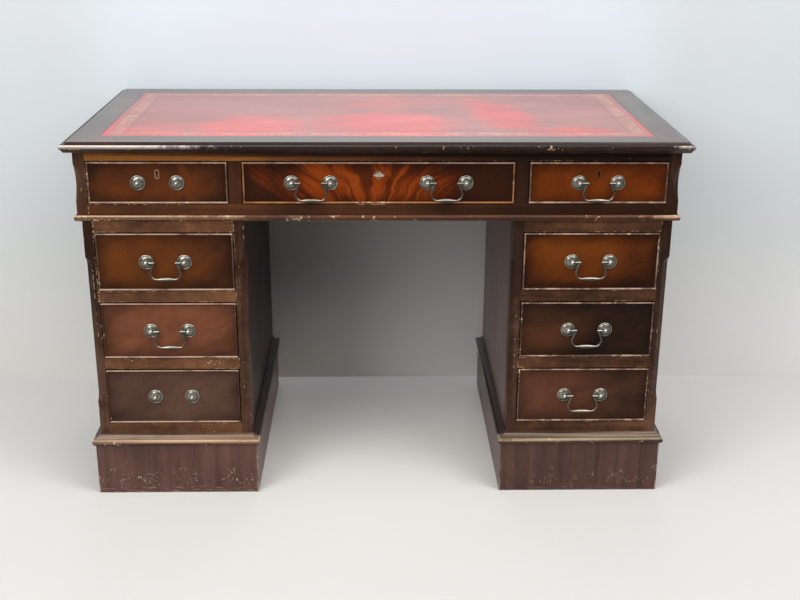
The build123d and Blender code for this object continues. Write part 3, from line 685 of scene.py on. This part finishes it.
def rounded(node, body):
    """A curved piece as one joined mesh that shades smoothly. It is shown in place of its node."""
    bpy.ops.object.select_all(action="DESELECT")
    nodes[node].select_set(True)
    bpy.context.view_layer.objects.active = nodes[node]
    bpy.ops.object.duplicate()
    piece = bpy.context.object
    piece.name = f"{node}_rounded"
    bpy.ops.object.mode_set(mode="EDIT")
    bpy.ops.mesh.select_all(action="SELECT")
    bpy.ops.mesh.remove_doubles(threshold=merge_distance)
    bpy.ops.object.mode_set(mode="OBJECT")
    bpy.ops.object.shade_smooth_by_angle(angle=smooth_angle)
    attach(piece, body)
    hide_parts(node)
    shown[node] = piece


# Curved pieces, with the body that each rides on
for node in ("top_edge_moulding", "frieze_base_moulding", "left_plinth_moulding",
             "right_plinth_moulding", "frieze_corner_posts", "left_pedestal_posts",
             "right_pedestal_posts"):
    rounded(node, "desk_carcass")
for node in list(nodes):
    if node.endswith("_bail"):
        rounded(node, node)
    if node.endswith("_brassware"):
        rounded(node, node.replace("_brassware", "_drawer"))
rounded("centre_key", "centre_key")

# Carcass
dress("top_board", mahogany("top_border", frame_lay("top_board"), tint=0.0, rubbed=-0.2, chipped=-0.2,
                            specular=0.62, coat=0.35))
panels = mahogany("panel_grain", "Z", tint=-0.04, rubbed=-0.2, chipped=-0.1)
for node in ("frieze_end_panels", "back_panels", "frieze_partitions"):
    dress(node, panels)
dress("left_pedestal_sides",
      mahogany("left_side_grain", "Z", tint=-0.18, rubbed=-0.2, chipped=-0.1))
# The right pedestal's side by the knees is painted lighter, as light from the left falls on it
dress("right_pedestal_sides",
      mahogany("right_side_grain", "Z", tint=0.2, rubbed=-0.2, chipped=-0.1, tones=plinth_tones,
               wear_and_painted_light=side_painted_light, specular=0.5))
dress("left_pedestal_posts",
      mahogany("left_post_grain", "Z", tint=0.0, rubbed=-0.15, chipped=0.03, specked=0.0,
               open_axes=(1, 1, 0), tones=post_tones, wear_and_painted_light=post_patches_and_painted_shade, specular=0.05))
dress("right_pedestal_posts",
      mahogany("right_post_grain", "Z", tint=-0.1, rubbed=-0.2, chipped=-0.05, specked=-0.08,
               open_axes=(1, 1, 0), tones=post_tones, wear_and_painted_light=post_patches_and_painted_shade))
dress("frieze_corner_posts",
      mahogany("frieze_post_grain", "Z", tint=0.12, rubbed=-0.2, chipped=-0.06, specked=-0.08,
               tones=rail_tones, wear_and_painted_light=frieze_post_painted_light))
dress("frieze_rails",
      mahogany("frieze_rail_grain", "X", tint=0.02, rubbed=-0.15, chipped=0.0, specked=-0.05,
               open_axes=(0, 1, 1), wear_and_painted_light=frieze_painted_light))
dress("left_pedestal_rails",
      mahogany("left_rail_grain", "X", tint=0.26, rubbed=-0.15, chipped=0.06, specked=0.06,
               open_axes=(0, 1, 1), tones=rail_tones, wear_and_painted_light=rail_fade))
dress("right_pedestal_rails",
      mahogany("right_rail_grain", "X", tint=0.06, rubbed=-0.15, chipped=0.02, specked=0.0,
               open_axes=(0, 1, 1), tones=rail_tones, wear_and_painted_light=rail_fade))
for hand, tint in (("left", 0.22), ("right", 0.08)):
    dress(f"{hand}_plinth",
          mahogany(f"{hand}_plinth_grain", "Z", tint, rubbed=-0.1, chipped=0.0, tones=plinth_tones,
                   scuffs=plinth_scuffs, specular=0.3, chip_tone=scuff_pale))

# Mouldings. The rub, part wear and part painted highlight, goes in from the nose by reach, and round the
# nose from the slope called under
mouldings = {
    "top_edge_moulding": dict(
        tint=-0.1, rubbed=-0.75, chipped=-0.06, reach=0.003, end_highlight=1.2, dull_sheen=0.0, shine=0.22,
        coat=0.95, nose_tone=nose_grey, under=-0.5),
    "frieze_base_moulding": dict(
        tint=0.18, rubbed=-0.18, chipped=-0.05, reach=0.004, end_highlight=0.56, dull_sheen=0.0, shine=0.25,
        coat=0.0, nose_tone=nose_tan, under=-0.1),
    "left_plinth_moulding": dict(
        tint=0.1, rubbed=0.2, chipped=-0.03, reach=0.0035, end_highlight=0.3, dull_sheen=1.1, shine=0.4,
        coat=0.1, nose_tone=nose_gold, under=0.0),
    "right_plinth_moulding": dict(
        tint=0.0, rubbed=0.35, chipped=-0.04, reach=0.0035, end_highlight=0.0, dull_sheen=0.5, shine=0.4,
        coat=0.1, nose_tone=nose_straw, under=0.0),
}
for node, marks in mouldings.items():
    dress(node, moulding(node, **marks))

# Inside and top
bare_boards = lining("carcass_lining", "Y")
for node in ("pedestal_boards", "drawer_runners", "drawer_stops", "locating_pegs"):
    dress(node, bare_boards)
dress("writing_leather", red_skiver("writing_leather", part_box("writing_leather")))

# Drawers
fronts = {
    "frieze_left": dict(
        figure=streaked_figure, glow_place=(0.0, 0.0), glow_reach=2.0,
        edge_shade=0.3, upright_rub=0.25, broken=0.3,
        tones=(linear(40, 21, 12), linear(66, 36, 19), linear(100, 50, 20))),
    "frieze_centre": dict(
        figure=flame_figure, glow_place=(-0.1, 0.0), glow_reach=0.9,
        edge_shade=0.25, upright_rub=0.7, broken=0.2,
        tones=(linear(52, 25, 12), linear(86, 34, 11), linear(140, 60, 13))),
    "frieze_right": dict(
        figure=plain_figure, glow_place=(0.0, 0.0), glow_reach=2.0,
        edge_shade=0.35, upright_rub=0.3, broken=0.55,
        tones=(linear(58, 25, 7), linear(92, 40, 9), linear(116, 53, 12))),
    "left_upper": dict(
        figure=plain_figure, glow_place=(-0.3, 0.2), glow_reach=1.6,
        edge_shade=0.4, upright_rub=0.1, broken=0.1,
        tones=(linear(46, 25, 14), linear(78, 41, 18), linear(102, 54, 20))),
    "left_middle": dict(
        figure=plain_figure, glow_place=(0.0, 0.2), glow_reach=1.8,
        edge_shade=0.25, upright_rub=0.05, broken=0.1,
        tones=(linear(60, 35, 25), linear(93, 55, 38), linear(130, 79, 54))),
    "left_lower": dict(
        figure=plain_figure, glow_place=(0.0, 0.0), glow_reach=2.0,
        edge_shade=0.2, upright_rub=0.05, broken=0.1,
        tones=(linear(55, 38, 31), linear(78, 55, 45), linear(95, 69, 57))),
    "right_upper": dict(
        figure=plain_figure, glow_place=(-0.1, 0.2), glow_reach=1.3,
        edge_shade=0.5, upright_rub=0.5, broken=0.7,
        tones=(linear(42, 20, 8), linear(84, 39, 10), linear(114, 57, 14))),
    "right_middle": dict(
        figure=plain_figure, glow_place=(-0.9, 0.0), glow_reach=1.4,
        edge_shade=0.35, upright_rub=0.2, broken=0.75,
        tones=(linear(33, 20, 13), linear(50, 30, 19), linear(86, 49, 29))),
    "right_lower": dict(
        figure=plain_figure, glow_place=(-0.5, 0.1), glow_reach=1.8,
        edge_shade=0.3, upright_rub=0.2, broken=0.65,
        tones=(linear(48, 31, 23), linear(75, 46, 33), linear(98, 60, 42))),
}
silvered, tarnished = linear(206, 202, 188), linear(44, 46, 42)
brass = old_brass("bail_brass", linear(196, 190, 174), linear(34, 31, 26), bail_painted_light)
for place, (drawer, front) in enumerate(fronts.items()):
    front_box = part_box(f"{drawer}_drawer_front")
    lower_bead = bead_gold if drawer == "frieze_centre" else bead_shine
    dress(f"{drawer}_drawer_front",
          drawer_veneer(f"{drawer}_veneer", front_box, seed_step * place, lower_bead, **front))
    low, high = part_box(f"{drawer}_drawer_box")
    dress(f"{drawer}_drawer_box",
          drawer_lining(f"{drawer}_lining", (low.x + high.x) / 2, (high.x - low.x) / 2))
    middle_x, middle_z = (low.x + high.x) / 2, (front_box[0].z + front_box[1].z) / 2
    offset = centre_handle_offset if drawer == "frieze_centre" else 0.0
    plate_tone = linear(120, 72, 44) if drawer == "frieze_right" else linear(168, 120, 100)
    plate_place = (middle_x, front_box[0].y + bead_proud + keyhole_plate_depth)
    rings = rosette_tarnish_and_light(middle_x, middle_z, offset)
    dress(f"{drawer}_brassware",
          old_brass(f"{drawer}_brass", silvered, tarnished, rings, plate_place, plate_tone))
for node in nodes:
    if node.endswith("_bail") or node == "centre_lock_bolt":
        dress(node, brass)
dress("centre_key", old_brass("key_metal", linear(240, 230, 208), linear(160, 148, 122)))


# Lock screws
def screw_head():
    """A round-headed wood screw's head with its slot, facing into the drawer, at the origin."""
    bpy.ops.object.select_all(action="DESELECT")
    bpy.ops.mesh.primitive_cylinder_add(vertices=24, radius=screw_radius, depth=screw_height,
                                        rotation=(pi / 2, 0, 0))
    head = bpy.context.object
    rounding = head.modifiers.new("rounding", "BEVEL")
    rounding.width = screw_height * 0.45
    rounding.segments = 4
    bpy.ops.object.modifier_apply(modifier="rounding")
    bpy.ops.mesh.primitive_cube_add(size=1, location=(0, screw_height / 2, 0),
                                    scale=(screw_radius * 3, screw_height * 0.7, screw_slot))
    cutter = bpy.context.object
    slot = head.modifiers.new("slot", "BOOLEAN")
    slot.object = cutter
    bpy.ops.object.select_all(action="DESELECT")
    head.select_set(True)
    bpy.context.view_layer.objects.active = head
    bpy.ops.object.modifier_apply(modifier="slot")
    bpy.data.objects.remove(cutter)
    return head


def lock_screws(drawer, pattern):
    """Four copies of the screw head in the corners of a lock case, each slot turned its own way."""
    low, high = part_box(f"{drawer}_drawer_front")
    lock_x = (low.x + high.x) / 2
    case_back = low.y + bead_proud + front_thickness
    bpy.ops.object.select_all(action="DESELECT")
    corners = [(side, drop) for drop in (screw_inset, lock_height - screw_inset) for side in (-1, 1)]
    for place, (side, drop) in enumerate(corners):
        head = pattern.copy()
        head.data = pattern.data.copy()
        scene.collection.objects.link(head)
        spread = side * (lock_width / 2 - screw_inset)
        head.location = (lock_x + spread, case_back + screw_height / 4, high.z - drop)
        head.rotation_euler = (pi / 2, place * 0.9 + lock_x * 2, 0)
        head.select_set(True)
        bpy.context.view_layer.objects.active = head
    bpy.ops.object.join()
    screws = bpy.context.object
    bpy.ops.object.transform_apply(location=True, rotation=True, scale=True)
    bpy.ops.object.shade_smooth_by_angle(angle=smooth_angle)
    screws.name = f"{drawer}_lock_screws"
    screws.data.materials.clear()
    screws.data.materials.append(brass)
    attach(screws, f"{drawer}_drawer")


pattern = screw_head()
for drawer in ("frieze_left", "frieze_centre", "frieze_right"):
    lock_screws(drawer, pattern)
bpy.data.objects.remove(pattern)


# Stage
def mottled(finish, near, far, share):
    """Pale paper that passes from one colour to another, a little uneven all over."""
    mottle = finish.noise(finish.point, 1.3, 4.0, 0.6)
    return finish.darken(finish.mix(share, near, far), 1 - mottle * 0.04)


floor_finish = Finish("floor_paper")
# Painted shadow: the floor a little darker under and behind the desk, towards the wall
painted_shadow_under_desk = floor_finish.y.rise(0.05, 0.33) * (1 - abs(floor_finish.x).rise(0.3, 0.9))
floor_tone = mottled(floor_finish, linear(223, 221, 217), linear(216, 215, 211), painted_shadow_under_desk)
floor_finish.surface({"Base Color": floor_tone, "Roughness": 0.7, "Specular IOR Level": 0.2})
wall_finish = Finish("wall_paper")
wall_height = wall_finish.y + stage_size / 2
# Painted light: the wall lighter at its foot, most to the right, and above the desk's top lighter and
# cooler than beside it
wall_foot = wall_finish.mix(wall_finish.x.rise(-0.45, 0.2), linear(234, 233, 229),
                            linear(243, 242, 240))
above_top = wall_height.rise(0.66, 0.8) * (1 - abs(wall_finish.x).rise(0.45, 0.8))
wall_head = wall_finish.mix(above_top, linear(214, 219, 221), linear(224, 235, 241))
wall_tone = mottled(wall_finish, wall_foot, wall_head, wall_height.rise(0.05, 0.6))
behind_knees = (1 - abs(wall_finish.x).rise(0.42, 0.56)) * (1 - wall_height.rise(0.58, 0.7))
knee_shade = behind_knees * wall_height.rise(0.0, 0.34) * (1 - wall_finish.x.rise(-0.3, 0.3) * 0.9)
wall_tone = wall_finish.darken(wall_tone, 1 - knee_shade * 0.66)
light_path = {name: wall_finish.node("ShaderNodeLightPath", output=name)
              for name in ("Is Camera Ray", "Is Glossy Ray", "Is Transmission Ray", "Ray Length")}
facing = 1 - wall_finish.node("ShaderNodeNewGeometry", output="Backfacing")
between_pedestals = (1 - abs(wall_finish.x).above(knee_half_width)) * (1 - wall_height.above(knee_height))
far_off = light_path["Ray Length"].above(near_wall).larger(wall_height.above(cad_high.z))
reflected = light_path["Is Glossy Ray"] * far_off.larger(between_pedestals)
seen = (light_path["Is Camera Ray"] + reflected + light_path["Is Transmission Ray"]).smaller(1.0) * facing
paper = wall_finish.node("ShaderNodeBsdfDiffuse", {}, {"Color": wall_tone})
clear = wall_finish.node("ShaderNodeBsdfTransparent")
wall_finish.node("ShaderNodeOutputMaterial", {}, {
    "Surface": wall_finish.node("ShaderNodeMixShader", {}, {0: seen, 1: clear, 2: paper})})

bpy.ops.object.select_all(action="DESELECT")
bpy.ops.mesh.primitive_plane_add(size=stage_size)
floor = bpy.context.object
floor.name = "floor"
floor.data.materials.append(floor_finish.material)
bpy.ops.object.select_all(action="DESELECT")
bpy.ops.mesh.primitive_plane_add(size=stage_size, rotation=(pi / 2, 0, 0),
                                 location=(0, cad_high.y + wall_gap, stage_size / 2))
wall = bpy.context.object
wall.name = "backdrop"
wall.data.materials.append(wall_finish.material)
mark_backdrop(floor, wall)

# Light, with places and sizes in metres and power in watts
scene.view_settings.view_transform = "Standard"
world = bpy.data.worlds.new("studio")
scene.world = world
world.use_nodes = True
world.node_tree.nodes["Background"].inputs["Color"].default_value = (0.86, 0.88, 0.9, 1.0)
world.node_tree.nodes["Background"].inputs["Strength"].default_value = 0.22


def softbox(name, place, aim, size, power):
    """A wide, even lamp at a place, turned to what it is aimed at."""
    light = bpy.data.lights.new(name, "AREA")
    light.shape = "RECTANGLE"
    light.size, light.size_y = size
    light.energy = power
    lamp = bpy.data.objects.new(name, light)
    lamp.location = place
    lamp.rotation_euler = (Vector(aim) - Vector(place)).to_track_quat("-Z", "Y").to_euler()
    scene.collection.objects.link(lamp)


softbox("key_softbox", (-1.7, -2.2, 2.0), (0.0, -0.2, 0.5), (1.6, 1.5), 40)
softbox("overhead_softbox", (-0.2, -1.0, 2.9), (0.0, 0.0, 0.3), (3.0, 1.8), 54)
softbox("fill_softbox", (1.9, -1.4, 2.7), (1.1, -0.3, 0.0), (1.6, 1.6), 40)
softbox("back_softbox", (0.0, 2.6, 2.4), (0.0, 0.2, 0.5), (2.0, 1.6), 30)

# Camera
camera_data = bpy.data.cameras.new("camera")
camera_data.sensor_width = sensor_width
camera_data.lens = lens
camera = bpy.data.objects.new("camera", camera_data)
turn = (Matrix.Rotation(-camera_yaw, 4, "Z") @ Matrix.Rotation(pi / 2 - camera_pitch, 4, "X")
        @ Matrix.Rotation(camera_roll, 4, "Z"))
camera.matrix_world = Matrix.Translation(camera_place) @ turn
scene.collection.objects.link(camera)
scene.camera = camera

low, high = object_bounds()
